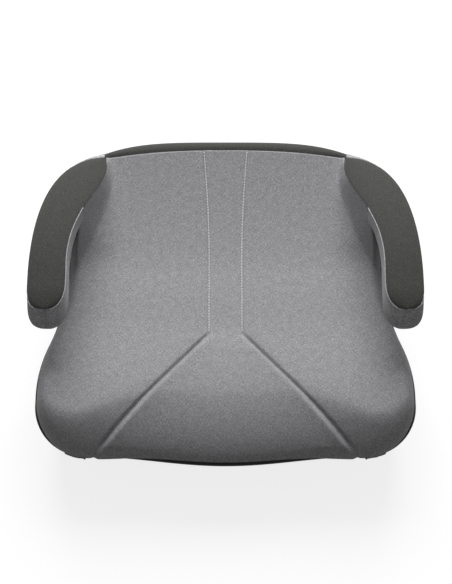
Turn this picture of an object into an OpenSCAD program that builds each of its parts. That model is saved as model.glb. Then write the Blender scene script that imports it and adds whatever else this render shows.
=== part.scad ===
// Backless booster seat for a car, fully upholstered.
// +X is the sitter's left-to-right axis, +Y points to the backrest, +Z is up.
// The origin is on the floor, under the middle of the seat.

/* [Seat plan] */
// Distance from the middle of the seat to its front edge, and to its rear edge
half_depth = 190; // [180:1:200]
// Half width across the front flare of the shell
flare_half_w = 219; // [212:1:226]
// Half width at the waist under the armrests
waist_half_w = 187; // [180:1:192]
// Radius of the two front corners
front_corner_r = 60; // [50:1:66]
// How far the middle of the front edge bulges forward
front_bump = 11; // [4:1:16]

/* [Seat heights] */
// Height of the seat surface where it is lowest
seat_z = 115; // [108:1:122]
// Height of the seam along the rear edge
rear_seam_z = 147; // [138:1:154]
// Height of the shell's lip at the front
lip_front_z = 82; // [76:1:88]
// How much higher the lip runs at the rear
lip_rise = 12; // [0:1:16]
// Foam thickness between the shell's deck and the cover
foam_t = 15; // [10:1:16]
// Thickness of the cover's laminated fabric
fabric_t = 1.8; // [1:0.2:2.4]

/* [Armrests] */
// Height of the armrest's top at its highest point
arm_top_z = 206; // [196:1:214]
// Height of the underside of the free front half
arm_under_z = 157; // [152:1:162]
// Furthest forward point of the armrest
arm_tip_y = -52; // [-60:1:-46]
// Furthest forward point of the armrest's dark top panel
arm_top_tip_y = -44; // [-45:1:-38]
// Thickness of the armrest foam
arm_foam_t = 4; // [2:1:5]

/* [Shell and base] */
// Wall thickness of the moulded shell
wall = 2.6; // [2:0.2:3.4]
// Height of the rubber feet below the tray
foot_h = 5; // [3:1:6]
// Radius of the shell screws' shanks
screw_r = 1.6; // [1.4:0.1:2]

/* [Hidden] */

shell_color = "#1b1b1b";
cover_grey = "#8f8f92";
cover_dark = "#3b3b37";
foam_color = "#d9cfa8";

// Lip and cover edge, measured inwards from the shell's outline
cover_inset = 3.6;
deck_inset = 9.5;
base_inset = 17;
skin = 0.3;

// ---------------------------------------------------------------- small functions

function clamp01(v) = min(1, max(0, v));
function smooth(v) = let (c = clamp01(v)) c * c * (3 - 2 * c);
function mix(a, b, t) = a + (b - a) * t;
function flip_x(p) = [-p.x, p.y, p.z];
function bezier(p, t) =
    pow(1 - t, 3) * p[0] + 3 * pow(1 - t, 2) * t * p[1] + 3 * (1 - t) * t * t * p[2] + pow(t, 3) * p[3];
function arc(c, r, a0, a1, n) = [for (k = [1:n]) let (a = mix(a0, a1, k / n)) c + r * [cos(a), sin(a)]];

// ---------------------------------------------------------------- plan outline of the shell

corner_c = [flare_half_w - front_corner_r, -half_depth + front_bump + front_corner_r];
flare_r = 150;
flare_turn = 24.6;
flare_y = -108;
flare_c = [flare_half_w - flare_r, flare_y];
flare_end = flare_c + flare_r * [cos(flare_turn), sin(flare_turn)];
waist_r = (flare_end.x - waist_half_w) / (1 - cos(flare_turn));
waist_c = flare_end + waist_r * [cos(flare_turn), sin(flare_turn)];
rear_corner_r = 72;
rear_arc_r = 730;
rear_turn = 10;
rear_corner_c = [waist_half_w - rear_corner_r, half_depth - rear_arc_r + rear_arc_r * cos(rear_turn)
                 - rear_corner_r * cos(rear_turn) + 0.8];

// The front edge is one gentle wave from corner to corner
function front_edge_y(x) = -half_depth + front_bump * (0.5 - 0.5 * cos(180 * x / corner_c.x));
// Points from the middle of the front edge round the +X side to the middle of the rear edge
n_front = 8;
half_outline = concat(
    [for (k = [0:n_front]) let (x = corner_c.x * k / n_front) [x, front_edge_y(x)]],
    arc(corner_c, front_corner_r, -90, 0, 6),
    arc(flare_c, flare_r, 0, flare_turn, 4),
    [for (k = [1:6]) let (a = flare_turn * (1 - k / 6)) waist_c - waist_r * [cos(a), sin(a)]],
    arc(rear_corner_c, rear_corner_r, 0, 90 - rear_turn, 6),
    [for (k = [5:-1:0]) let (x = 126 * k / 6) [x, half_depth - rear_arc_r + sqrt(pow(rear_arc_r, 2) - x * x)]]
);
n_half = len(half_outline) - 1;
i_corner = n_front;
i_waist = n_front + 16;
outline = concat(half_outline, [for (k = [n_half - 1:-1:1]) [-half_outline[k].x, half_outline[k].y]]);
n_out = len(outline);

// Unit vector out of the outline at point i
function outward(i) =
    let (d = outline[(i + 1) % n_out] - outline[(i + n_out - 1) % n_out]) [d.y, -d.x] / norm(d);
// Point i of the outline, moved inwards by d
function inset_pt(i, d) = outline[i] - d * outward(i);

// Distance from p to the line from a to b
function to_segment(p, a, b) =
    let (t = clamp01((p - a) * (b - a) / ((b - a) * (b - a)))) norm(p - mix(a, b, t));
cover_edge = [for (k = [0:i_waist + 2]) inset_pt(k, cover_inset)];
// Distance from a point of the +X half to the cover's free edge
function to_edge(x, y) = min([for (k = [0:len(cover_edge) - 2]) to_segment([x, y], cover_edge[k], cover_edge[k + 1])]);

// ---------------------------------------------------------------- heights

function lip_z(y) = lip_front_z + lip_rise * smooth((y + 60) / 120);
// The upholstered surface without its rolled edge
function crown_z(x, y) =
    seat_z + 3 * pow(x / 150, 2) + 5 * smooth((-20 - y) / 100)
    + (rear_seam_z - seat_z) * pow(max(0, (y - 30) / 142), 1.6);
function quarter(t) = sqrt(1 - pow(1 - clamp01(t), 2));
// The edge rolls down over a long waterfall at the front and a short one at the sides
function roll_length(y) = mix(27, 66, smooth((-y - 80) / 80));
function cover_z(x, y) =
    let (z0 = lip_z(y) + 3) z0 + (crown_z(x, y) - z0) * quarter(to_edge(abs(x), y) / roll_length(y));

// ---------------------------------------------------------------- armrest shape

// Inner and outer edges of the dark top panel, from the rear corner forward to y = 0
arm_inner = [[140, 159], [128, 118], [180, 84], [174.5, 0]];
arm_outer = [[141, 162], [188, 154], [214, 100], [216.1, 0]];
arm_curve_part = 0.76;
cap_length = 30;
arm_mid_x = 195.3;
arm_half_w = 20.8;
gap_end_y = 84;
gap_r = (arm_under_z - seat_z - 3) / 2;

// Plan position of the armrest's two edges at u = 0 (rear) to 1 (tip), for a horn that ends at y = tip
function arm_edges(u, tip) =
    u <= arm_curve_part
    ? let (t = u / arm_curve_part) [bezier(arm_inner, t), bezier(arm_outer, t)]
    : let (y = tip * (u - arm_curve_part) / (1 - arm_curve_part),
           c = clamp01((tip + cap_length - y) / cap_length),
           k = arm_half_w * pow(1 - pow(c, 2.6), 1 / 2.6))
      [[arm_mid_x - k, y], [arm_mid_x + k, y]];
function arm_across(u) =
    u < arm_curve_part ? let (e = arm_edges(u, arm_tip_y)) (e[1] - e[0]) / norm(e[1] - e[0]) : [1, 0];
function arm_top(y) = arm_top_z - 59 * pow(max(0, y) / 171, 2) - 5 * pow(clamp01((-y - 18) / 28), 2);
// Underside of the inner and outer sides: free at the front, resting on the shell behind the belt gap
function gap_roof(y) = arm_under_z - gap_r + gap_r * sqrt(1 - pow(clamp01((y - gap_end_y + gap_r) / gap_r), 2));
function arm_bottom_inner(y) = y < gap_end_y - 0.5 ? max(gap_roof(y), 120) : 120;
function arm_bottom_outer(y) = y < gap_end_y - 0.5 ? max(gap_roof(y), 120) : mix(120, lip_z(y) + 3, smooth((y - gap_end_y) / 12));
// How far the root leans in towards the shell below the horn
function arm_lean(u, z) = mix(3, 18, pow(clamp01(u / 0.38), 1.8)) * pow(clamp01((155 - z) / 55), 1.3);

n_top = 6;
n_side = 6;
n_under = 4;
// Point of the armrest's surface at station u: "side" is -1 on the inner edge and 1 on the outer edge,
// "out" moves it out from the edge, "down" is 0 at the top seam and 1 at the underside
function arm_pt(u, inset, side, out, down, z) =
    let (tip = mix(arm_top_tip_y, arm_tip_y, sin(90 * clamp01(down / 0.6))) + inset,
         e = arm_edges(u, tip), m = (e[0] + e[1]) / 2, n = arm_across(u),
         h = max(0.5, norm(e[1] - e[0]) / 2 - inset),
         p = m + (side * h + sign(side) * out - arm_lean(u, z)) * n)
    [p.x, p.y, z];
// Closed section at u: top panel from the inner to the outer edge, then down, under and up again.
// "inset" moves every face inwards.
function arm_section(u, inset) =
    let (e = arm_edges(u, arm_top_tip_y), y = (e[0].y + e[1].y) / 2,
         slim = min(1, norm(e[1] - e[0]) / 24),
         zt = arm_top(y) - inset,
         zi = min(arm_bottom_inner(y) + inset, zt - 4),
         zo = min(arm_bottom_outer(y) + inset, zt - 4),
         roll = 11 * (1 - smooth(u / 0.24)), bulge = 1.5 * slim, round = 7 * (u > 0.5 ? 1 : slim))
    concat(
        [for (k = [0:n_top]) let (t = 2 * k / n_top - 1)
            arm_pt(u, inset, t, 0, 0, zt - 3 * t * t)],
        [for (k = [1:n_side]) let (t = k / n_side)
            arm_pt(u, inset + round * pow(t, 5), 1, roll * quarter(t / 0.32) + bulge * sin(180 * t), t, mix(zt - 3, zo, t))],
        [for (k = [1:n_under - 1]) let (t = 1 - 2 * k / n_under)
            arm_pt(u, inset + round, t, 0, 1, mix(zi, zo, (t + 1) / 2))],
        [for (k = [n_side:-1:1]) let (t = k / n_side)
            arm_pt(u, inset + round * pow(t, 5), -1, bulge * sin(180 * t), t, mix(zt - 3, zi, t))]);
n_section = n_top + 1 + n_side + n_under - 1 + n_side;
arm_stations = concat([for (k = [0:7]) k * 0.05], [0.38, 0.405, 0.412, 0.43, 0.46],
                      [for (k = [1:5]) 0.46 + k * 0.08], [0.9, 0.935, 0.965, 0.985, 0.996, 1]);

// ---------------------------------------------------------------- meshes from grids of points

function wrap(v, n) = (v % n + n) % n;
// Faces between two equal grids, the first on the outside, closed round the border
module thick_patch(outer, inner) {
    rows = len(outer);
    cols = len(outer[0]);
    shift = rows * cols;
    quad = function (a, b, c, d) [[a, b, c], [a, c, d]];
    id = function (r, c) r * cols + c;
    faces = [
        for (r = [0:rows - 2], c = [0:cols - 2], f = concat(
            quad(id(r, c), id(r, c + 1), id(r + 1, c + 1), id(r + 1, c)),
            quad(id(r, c) + shift, id(r + 1, c) + shift, id(r + 1, c + 1) + shift, id(r, c + 1) + shift))) f,
        for (c = [0:cols - 2], f = concat(
            quad(id(0, c + 1), id(0, c), id(0, c) + shift, id(0, c + 1) + shift),
            quad(id(rows - 1, c), id(rows - 1, c + 1), id(rows - 1, c + 1) + shift, id(rows - 1, c) + shift))) f,
        for (r = [0:rows - 2], f = concat(
            quad(id(r, 0), id(r + 1, 0), id(r + 1, 0) + shift, id(r, 0) + shift),
            quad(id(r + 1, cols - 1), id(r, cols - 1), id(r, cols - 1) + shift, id(r + 1, cols - 1) + shift))) f
    ];
    flat = concat([for (r = outer, p = r) p], [for (r = inner, p = r) p]);
    polyhedron(flat, faces, convexity = 6);
}

// Closed surface through a stack of closed rings, with a point at each end
module ring_stack(rings, first, last) {
    n = len(rings[0]);
    m = len(rings);
    pts = concat([first], [for (r = rings, p = r) p], [last]);
    id = function (r, i) 1 + r * n + wrap(i, n);
    faces = [
        for (i = [0:n - 1]) [0, id(0, i + 1), id(0, i)],
        for (r = [0:m - 2], i = [0:n - 1], f = [[id(r, i), id(r, i + 1), id(r + 1, i + 1)],
                                                [id(r, i), id(r + 1, i + 1), id(r + 1, i)]]) f,
        for (i = [0:n - 1]) [1 + m * n, id(m - 1, i), id(m - 1, i + 1)]
    ];
    polyhedron(pts, faces, convexity = 8);
}

// Joins its children into one smooth-faced mesh
module one_mesh() resize([0, 0, 0]) children();

module both_sides() {
    children();
    mirror([1, 0, 0]) children();
}

// Unit normal of a grid at row r, column c
function grid_normal(g, r, c) =
    let (rows = len(g) - 1, cols = len(g[0]) - 1,
         a = g[min(rows, r + 1)][c] - g[max(0, r - 1)][c],
         b = g[r][min(cols, c + 1)] - g[r][max(0, c - 1)],
         n = cross(b, a)) n / max(0.0001, norm(n));
// The grid moved along its normal by the depth that each point asks for
function sunk(g, depth) = [for (r = [0:len(g) - 1]) [for (c = [0:len(g[0]) - 1])
    g[r][c] + grid_normal(g, r, c) * (is_function(depth) ? depth(r, c) : depth)]];
function columns(g, a, b) = [for (row = g) [for (c = [a:b]) row[c]]];

// ---------------------------------------------------------------- seat surface grid

seam_x0 = 20;
fork_y = -44;
seam_end = [150, front_edge_y(150) + cover_inset];
// Half width of the centre panel at y, behind the fork
function seam_x(y) = seam_x0 + 6.5 * pow(max(0, (y - 40) / 133), 2);

root_rows = 8;
rear_end = [139, 162];
// The seam between the seat cover and the rear panel
function rear_seam_y(x) = 173 - 10.5 * pow(abs(x) / 140, 2.4);
// How far the rows near that seam bow to follow it
function rear_bow(x, end_y) =
    pow(clamp01(1 - (rear_end.y - end_y) / 30), 2)
    * (rear_seam_y(x) - mix(173, rear_end.y, clamp01((x - 26.5) / (rear_end.x - 26.5))));
// Where the surface drops from the armrest's root to the lip, at the closed end of the belt gap
crotch = [[163.5, 80, 168], [167, 78.5, 156], [171, 77.5, 142], [175, 76, 126], [179, 73.5, 110],
          [182.5, 68, 100], [183.4, 58, 97]];
i_gap = i_waist;
first_edge_row = root_rows + 1 + len(crotch);
n_rows = first_edge_row + 1 + i_gap - i_corner;
// Outer end of row r of the seat surface
function row_end(r) =
    r <= root_rows
    ? let (u = arm_curve_part * 0.5 * r / root_rows, e = arm_edges(u, 0), n = (e[1] - e[0]) / norm(e[1] - e[0]),
           p = e[0] - 3 * [n.x, mix(-1, n.y, smooth(u / 0.1))], m = (e[0] + e[1]) / 2) [p.x, p.y, arm_top(m.y) - 4]
    : r < first_edge_row
    ? crotch[r - root_rows - 1]
    : let (p = inset_pt(i_gap - (r - first_edge_row), cover_inset)) [p.x, p.y, lip_z(p.y) + 3];
i_fork = i_corner + 10;
// Seam end of row r
function row_seam(r) =
    let (b = row_end(r), k = i_gap - (r - first_edge_row))
    k >= i_fork
    ? let (y = b.y + 11 * smooth((b.y - 86) / 76)) [seam_x(y), max(y, fork_y)]
    : mix([seam_x0, fork_y], seam_end, 1 - pow((k - i_corner) / (i_fork - i_corner), 1.4));
function raised(r, p) =
    let (b = row_end(r), over = b.z - cover_z(b.x, b.y), reach = 55)
    over > 0 && r < first_edge_row ? over * pow(clamp01(1 - norm([b.x, b.y] - p) / reach), 2.2) : 0;
function surface_pt(r, p) = [p.x, p.y, cover_z(p.x, p.y) + raised(r, p)];
n_mid = 4;
n_wing = 10;
function front_bow(r, x, a) =
    let (k = clamp01((fork_y - a.y) / (fork_y - seam_end.y)))
    k * k * (seam_end.y + half_depth - cover_inset) * (0.5 + 0.5 * cos(180 * clamp01(x / max(a.x, 1))));
half_row = function (r) let (a = row_seam(r), b = row_end(r)) concat(
    [for (k = [0:n_mid]) let (x = a.x * k / n_mid) surface_pt(r, [x, a.y - front_bow(r, x, a)])],
    [for (k = [1:n_wing]) let (t = 1 - pow(1 - k / n_wing, 1.5), p = mix(a, [b.x, b.y], t))
        surface_pt(r, p + [0, rear_bow(p.x, b.y)])]);
seat_grid = [for (r = [0:n_rows - 1]) let (h = half_row(r))
    concat([for (k = [n_mid + n_wing:-1:1]) flip_x(h[k])], h)];
mid_col = n_mid + n_wing;
under_cover = sunk(seat_grid, fabric_t);
// The foam thins out towards its edge
function foam_depth(r, c) =
    let (p = seat_grid[r][c], b = row_end(r), d = norm([b.x, b.y] - [abs(p.x), p.y]),
         f = min(to_edge(abs(p.x), p.y), d))
    fabric_t + mix(3.5, foam_t, clamp01(f / 32));
foam_under = sunk(seat_grid, function (r, c) foam_depth(r, c));

// ---------------------------------------------------------------- moulded parts

tray_screw_at = [[138, -118], [150, 10], [104, 128]];
foot_at = [[112, -128], [96, 104]];
arm_screw_at = [[163, 112], [154, 132]];

deck_drop = foam_t + fabric_t + 2;
// Top of the shell's deck, kept below the foam
function deck_z(x, y, inset) =
    let (z0 = lip_z(y))
    z0 + (min(crown_z(x, y), rear_seam_z - 2) - deck_drop - z0) * quarter((inset - deck_inset) / (roll_length(y) - 5));

function shell_ring(d, z) = [for (i = [0:n_out - 1]) let (p = inset_pt(i, d)) [p.x, p.y, is_undef(z) ? deck_z(p.x, p.y, d) : z(p.y)]];
function deck_ring(d, f, drop) = [for (i = [0:n_out - 1])
    let (p = inset_pt(i, d) * f, away = d + (1 - f) * norm(inset_pt(i, d))) [p.x, p.y, deck_z(p.x, p.y, away) - drop]];

module shell_skin() {
    upper = [for (f = [0.12, 0.35, 0.6, 0.8, 0.92]) deck_ring(deck_inset + 24, f, 0)];
    edge = [for (d = [24, 16, 9, 4, 1.2]) deck_ring(deck_inset + d, 1, 0)];
    outside = [
        shell_ring(deck_inset, function (y) lip_z(y)),
        shell_ring(1, function (y) lip_z(y)),
        shell_ring(0, function (y) lip_z(y) - 1),
        shell_ring(0, function (y) lip_z(y) - 4),
        shell_ring(3.5, function (y) lip_z(y) - 6),
        shell_ring(8, function (y) 52),
        shell_ring(14, function (y) 18),
        shell_ring(base_inset, function (y) foot_h),
        shell_ring(base_inset + wall, function (y) foot_h),
        shell_ring(14 + wall, function (y) 18),
        shell_ring(8 + wall, function (y) 52),
        shell_ring(6.5, function (y) lip_z(y) - 7),
        shell_ring(deck_inset + wall, function (y) lip_z(y) - 3)
    ];
    edge_under = [for (d = [4, 9, 16, 24]) deck_ring(deck_inset + wall + d, 1, wall)];
    upper_under = [for (f = [0.92, 0.8, 0.6, 0.35, 0.12]) deck_ring(deck_inset + 24, f, wall)];
    ring_stack(concat(upper, edge, outside, edge_under, upper_under),
               [0, 0, deck_z(0, 0, 150)], [0, 0, deck_z(0, 0, 150) - wall]);
}

module at_each(points, z) both_sides() for (p = points) translate([p.x, p.y, z]) children();

module seat_shell() color(shell_color) one_mesh() difference() {
    union() {
        shell_skin();
        both_sides() for (p = tray_screw_at)
            translate([p.x, p.y, foot_h + wall]) cylinder(r = 5.5, h = deck_z(p.x, p.y, 60) - foot_h - 1.5 * wall, $fn = 20);
    }
    at_each(tray_screw_at, foot_h) cylinder(r = screw_r, h = 26, $fn = 16);
    at_each(arm_screw_at, 90) cylinder(r = screw_r + 0.6, h = 60, $fn = 16);
}

tray_t = 2.6;
tray_inset = base_inset + wall + 0.6;
rib_h = 22;
module tray_outline() polygon([for (i = [0:n_out - 1]) inset_pt(i, tray_inset)]);
module tray_outline_inner() polygon([for (i = [0:n_out - 1]) inset_pt(i, tray_inset + 2)]);
module base_tray() color(shell_color) difference() {
    translate([0, 0, foot_h]) union() {
        linear_extrude(tray_t) tray_outline();
        linear_extrude(12) difference() {
            tray_outline();
            tray_outline_inner();
        }
        for (x = [-90:45:90]) translate([x - 1, -150, 0]) cube([2, 290, rib_h]);
        for (y = [-75:50:125]) translate([-125, y - 1, 0]) cube([250, 2, rib_h]);
    }
    at_each(tray_screw_at, 0) cylinder(r = 6, h = 60);
}

module rounded_bar(l, r, h) {
    translate([-l / 2, 0, 0]) cylinder(r = r, h = h);
    translate([l / 2, 0, 0]) cylinder(r = r, h = h);
    translate([-l / 2, -r, 0]) cube([l, 2 * r, h]);
}

module rubber_feet() color("#2a2a2a") at_each(foot_at, 0) difference() {
    rounded_bar(44, 11, foot_h);
    for (k = [-3:3]) translate([k * 7 - 1, -12, -1]) cube([2, 24, 2]);
}

// ---------------------------------------------------------------- armrests

function arm_grid(first, last, inset, from = 0, to = len(arm_stations) - 1) =
    [for (s = [from:to]) let (q = arm_section(arm_stations[s], inset))
        [for (k = [first:last]) q[wrap(k, n_section)]]];
i_top_end = n_top;
i_under_mid = n_top + n_side + n_under / 2;
frame_inset = fabric_t + arm_foam_t + skin;
root_station = 1;
end_station = len(arm_stations) - 3;

// The armrest frame is a channel, open underneath
module arm_frame() one_mesh() difference() {
    union() {
        thick_patch(arm_grid(-n_side, i_top_end + n_side, frame_inset, root_station, end_station),
                    arm_grid(-n_side, i_top_end + n_side, frame_inset + wall, root_station, end_station));
        for (p = arm_screw_at) translate([p.x, p.y, 121]) cylinder(r = 5.5, h = 38, $fn = 20);
    }
    for (p = arm_screw_at) translate([p.x, p.y, 118]) cylinder(r = screw_r - 0.1, h = 34, $fn = 16);
}
module arm_foam() thick_patch(arm_grid(-3, i_top_end + 4, fabric_t + skin / 2, root_station, end_station + 1),
                              arm_grid(-3, i_top_end + 4, fabric_t + arm_foam_t, root_station, end_station + 1));
module arm_top_panel() thick_patch(arm_grid(0, i_top_end, 0), arm_grid(0, i_top_end, fabric_t));
module arm_gusset() thick_patch(arm_grid(i_top_end, n_section, 0), arm_grid(i_top_end, n_section, fabric_t));

module armrest_frame_right() color(shell_color) arm_frame();
module armrest_frame_left() color(shell_color) mirror([1, 0, 0]) arm_frame();
module armrest_foam_right() color(foam_color) arm_foam();
module armrest_foam_left() color(foam_color) mirror([1, 0, 0]) arm_foam();
module armrest_top_panel_right() color(cover_dark) arm_top_panel();
module armrest_top_panel_left() color(cover_dark) mirror([1, 0, 0]) arm_top_panel();
module armrest_gusset_right() color(cover_grey) arm_gusset();
module armrest_gusset_left() color(cover_grey) mirror([1, 0, 0]) arm_gusset();

// ---------------------------------------------------------------- lap belt guides

guide_w = 26;
guide_t = 3;
guide_x = 181;
guide_c = [gap_end_y - gap_r - 2, arm_under_z - gap_r];
guide_screw_x = [188, 200];
guide_lead = 16;
// A half round liner at the closed end of the belt gap, with a short lead-in above and below
module guide_outline(r, lead) {
    circle(r = r);
    translate([-lead, -r]) square([lead, 2 * r]);
}
module guide_profile() difference() {
    guide_outline(gap_r - skin, guide_lead);
    guide_outline(gap_r - skin - guide_t, gap_r + 1);
}
module belt_guide() difference() {
    translate([guide_x, guide_c.x, guide_c.y]) rotate([90, 0, 90]) linear_extrude(guide_w) guide_profile();
    for (x = guide_screw_x) translate([x, guide_c.x, guide_c.y]) rotate([-90, 0, 0]) cylinder(r = screw_r + 0.3, h = 40);
}
module belt_guide_right() color("#303032") belt_guide();
module belt_guide_left() color("#303032") mirror([1, 0, 0]) belt_guide();

// ---------------------------------------------------------------- foam and cover

module seat_foam() color(foam_color)
    thick_patch(sunk(seat_grid, fabric_t + skin / 2), foam_under);
module seat_centre_panel() color(cover_grey)
    thick_patch(columns(seat_grid, mid_col - n_mid, mid_col + n_mid),
                columns(under_cover, mid_col - n_mid, mid_col + n_mid));
module seat_side_panel_right() color(cover_grey)
    thick_patch(columns(seat_grid, mid_col + n_mid, 2 * mid_col), columns(under_cover, mid_col + n_mid, 2 * mid_col));
module seat_side_panel_left() color(cover_grey)
    thick_patch(columns(seat_grid, 0, mid_col - n_mid), columns(under_cover, 0, mid_col - n_mid));

// The dark panel that rolls from the rear seam down the back
rear_half_w = 144;
n_rear = 14;
function rear_profile(t, inset) =
    [for (k = [0:n_rear]) let (x = rear_half_w * (2 * k / n_rear - 1),
        y_out = half_depth - 1.5 - 17 * pow(x / rear_half_w, 4) - inset,
        y_seam = rear_seam_y(x),
        a = 90 * min(1, t / 0.45), down = max(0, (t - 0.45) / 0.55),
        z = mix(rear_seam_z - inset - 16 * (1 - cos(a)), lip_z(half_depth) + 3, down))
        [x, mix(y_seam, y_out, sin(a)) - 2 * down, z]];
module rear_panel() color(cover_dark) {
    steps = [0, 0.09, 0.18, 0.27, 0.36, 0.45, 0.7, 1];
    thick_patch([for (t = steps) rear_profile(t, fabric_t)], [for (t = steps) rear_profile(t, 0)]);
}

hem_r = 1.3;
hem_ring = [for (i = [0:n_out - 1]) let (p = inset_pt(i, cover_inset + 1.2)) [p.x, p.y, lip_z(p.y) + hem_r + 0.1]];
module hem_elastic() color("#111111") {
    sides = 6;
    pts = [for (i = [0:n_out - 1], k = [0:sides - 1]) let (n = outward(i), a = 360 * k / sides)
        hem_ring[i] + hem_r * [n.x * cos(a), n.y * cos(a), sin(a)]];
    faces = [for (i = [0:n_out - 1], k = [0:sides - 1])
        let (j = (i + 1) % n_out, l = (k + 1) % sides)
        each [[i * sides + k, i * sides + l, j * sides + l], [i * sides + k, j * sides + l, j * sides + k]]];
    polyhedron(pts, faces, convexity = 6);
}

clip_every = 6;
module hem_clips() color("#202020")
    for (i = [3:clip_every:n_out - 1]) {
        p = inset_pt(i, cover_inset + 4.2);
        n = outward(i);
        translate([p.x, p.y, lip_z(p.y) + 0.1]) rotate(atan2(n.y, n.x)) translate([-1, -6, 0]) cube([1.6, 12, 4]);
    }

// ---------------------------------------------------------------- fasteners

// Pan head screw pointing up from the origin, with a cross recess
module screw(length, r, head_r) difference() {
    union() {
        cylinder(r = r, h = length);
        translate([0, 0, -2]) cylinder(r = head_r, h = 2);
    }
    translate([-2, -0.4, -2.5]) cube([4, 0.8, 1.6]);
    translate([-0.4, -2, -2.5]) cube([0.8, 4, 1.6]);
}
module tray_screws() color("silver") at_each(tray_screw_at, foot_h + wall - 2.6) screw(22, screw_r - 0.1, 4);
module armrest_screws() color("silver")
    both_sides() for (p = arm_screw_at) translate([p.x, p.y, deck_z(p.x, p.y, 60) - wall - 0.2]) screw(36, screw_r - 0.2, 4.2);
module belt_guide_screws() color("silver")
    both_sides() for (x = guide_screw_x)
        translate([x, guide_c.x + gap_r - skin - guide_t - 0.1, guide_c.y]) rotate([-90, 0, 0]) screw(14, screw_r, 3.4);

seat_shell();
base_tray();
armrest_frame_left();
armrest_frame_right();
belt_guide_left();
belt_guide_right();
seat_foam();
armrest_foam_left();
armrest_foam_right();
seat_centre_panel();
seat_side_panel_left();
seat_side_panel_right();
rear_panel();
armrest_top_panel_left();
armrest_top_panel_right();
armrest_gusset_left();
armrest_gusset_right();
hem_elastic();
hem_clips();
rubber_feet();
tray_screws();
armrest_screws();
belt_guide_screws();
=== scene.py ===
"""Looks of the backless booster seat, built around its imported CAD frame.

Shape functions work in millimetres, as part.scad does; meshes are written in metres.
"Grid" means an array of points, rows by columns. Most shapes are made for the +X side and mirrored.
"""
import math

import bpy
import numpy as np
from mathutils import Matrix, Vector


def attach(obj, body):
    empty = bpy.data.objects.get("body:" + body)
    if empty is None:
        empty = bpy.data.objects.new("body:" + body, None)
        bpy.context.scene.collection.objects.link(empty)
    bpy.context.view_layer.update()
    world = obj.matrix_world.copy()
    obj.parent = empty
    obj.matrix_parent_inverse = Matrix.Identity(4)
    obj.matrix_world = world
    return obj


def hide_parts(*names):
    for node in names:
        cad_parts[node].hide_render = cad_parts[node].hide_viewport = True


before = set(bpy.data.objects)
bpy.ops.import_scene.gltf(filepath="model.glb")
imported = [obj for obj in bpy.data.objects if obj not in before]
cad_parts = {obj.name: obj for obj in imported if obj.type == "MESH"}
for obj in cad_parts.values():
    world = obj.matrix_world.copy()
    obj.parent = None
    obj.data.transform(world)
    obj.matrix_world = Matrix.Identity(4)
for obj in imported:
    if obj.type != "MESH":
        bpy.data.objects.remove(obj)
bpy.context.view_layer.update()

MM = 0.001
FINE = 1  # mesh density

# ------------------------------------------------------------------ sizes shared with part.scad

HALF_DEPTH = 190
FLARE_HALF_W = 219
WAIST_HALF_W = 187
FRONT_CORNER_R = 60
FRONT_BUMP = 11
SEAT_Z = 115
REAR_SEAM_Z = 147
LIP_FRONT_Z = 82
LIP_RISE = 12
FOAM_T = 15
FABRIC_T = 1.8
COVER_INSET = 3.6
BASE_INSET = 17
DECK_INSET = 9.5
WALL = 2.6
FOOT_H = 5

ARM_TOP_Z = 206
ARM_UNDER_Z = 157
ARM_INNER = np.array([[140, 159], [128, 118], [180, 84], [174.5, 0]], float)
ARM_OUTER = np.array([[141, 162], [188, 154], [214, 100], [216.1, 0]], float)
ARM_CURVE_PART = 0.76
CAP_LENGTH = 30
ARM_MID_X = 195.3
ARM_HALF_W = 20.8
ARM_FLOOR_Z = 120
GAP_END_Y = 84
GAP_R = (ARM_UNDER_Z - SEAT_Z - 3) / 2

SEAM_X = 20
FORK_Y = -44
SEAM_END_X = 150
REAR_END = np.array([139.0, 162.0])
# Plan line of the cover's edge where it turns under the armrest, from its root to the waist
CROTCH = np.array([[163.5, 80], [167, 78.5], [171, 77.5], [175, 76], [179, 73.5], [182.5, 68], [183.4, 58]])
CROTCH_MIDDLE = CROTCH[2]

# ------------------------------------------------------------------ sizes that differ, or are only used here

ARM_TIP_Y = -57
ARM_TOP_TIP_Y = -43
FRONT_RISE = 7
SIDE_ROLL = 16
FRONT_ROLL = 72
LIP_ROUND_R = 2.0
SEAM_END_Y = -180
COVER_HALF_W = 216
COVER_FRONT_Y = -186

# ------------------------------------------------------------------ small functions


def clamp01(v):
    return np.clip(v, 0, 1)


def smooth(v):
    c = clamp01(v)
    return c * c * (3 - 2 * c)


def mix(a, b, t):
    return a + (b - a) * t


def bezier(p, t):
    t = np.asarray(t, float)[..., None]
    return (1 - t) ** 3 * p[0] + 3 * (1 - t) ** 2 * t * p[1] + 3 * (1 - t) * t * t * p[2] + t ** 3 * p[3]


def arc(c, r, a0, a1, n):
    """Points on a circle from angle a0, which is left out, to a1, in degrees."""
    a = np.radians(a0 + (a1 - a0) * np.arange(1, n + 1) / n)
    return np.asarray(c) + r * np.stack([np.cos(a), np.sin(a)], -1)


def lengths(p):
    """Length along a polyline at each of its points."""
    return np.concatenate([[0], np.cumsum(np.linalg.norm(np.diff(p, axis=0), axis=1))])


def resample(p, n):
    """The same polyline with n evenly spaced points."""
    s = lengths(p)
    t = np.linspace(0, s[-1], n)
    return np.stack([np.interp(t, s, p[:, k]) for k in range(p.shape[1])], -1)


def relax(p, rounds):
    """Evens out a polyline, keeping its ends."""
    p = p.copy()
    for _ in range(rounds):
        p[1:-1] = 0.25 * p[:-2] + 0.5 * p[1:-1] + 0.25 * p[2:]
    return p


def to_line(xy, line):
    """Distance from each point to a polyline."""
    flat = xy.reshape(-1, 2)
    best = np.full(len(flat), 1e9)
    for a, b in zip(line[:-1], line[1:]):
        d = b - a
        t = clamp01(((flat - a) @ d) / (d @ d))
        best = np.minimum(best, np.linalg.norm(flat - (a + t[:, None] * d), axis=1))
    return best.reshape(xy.shape[:-1])


def unit(v):
    return v / np.maximum(1e-6, np.linalg.norm(v, axis=-1))[..., None]


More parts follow.
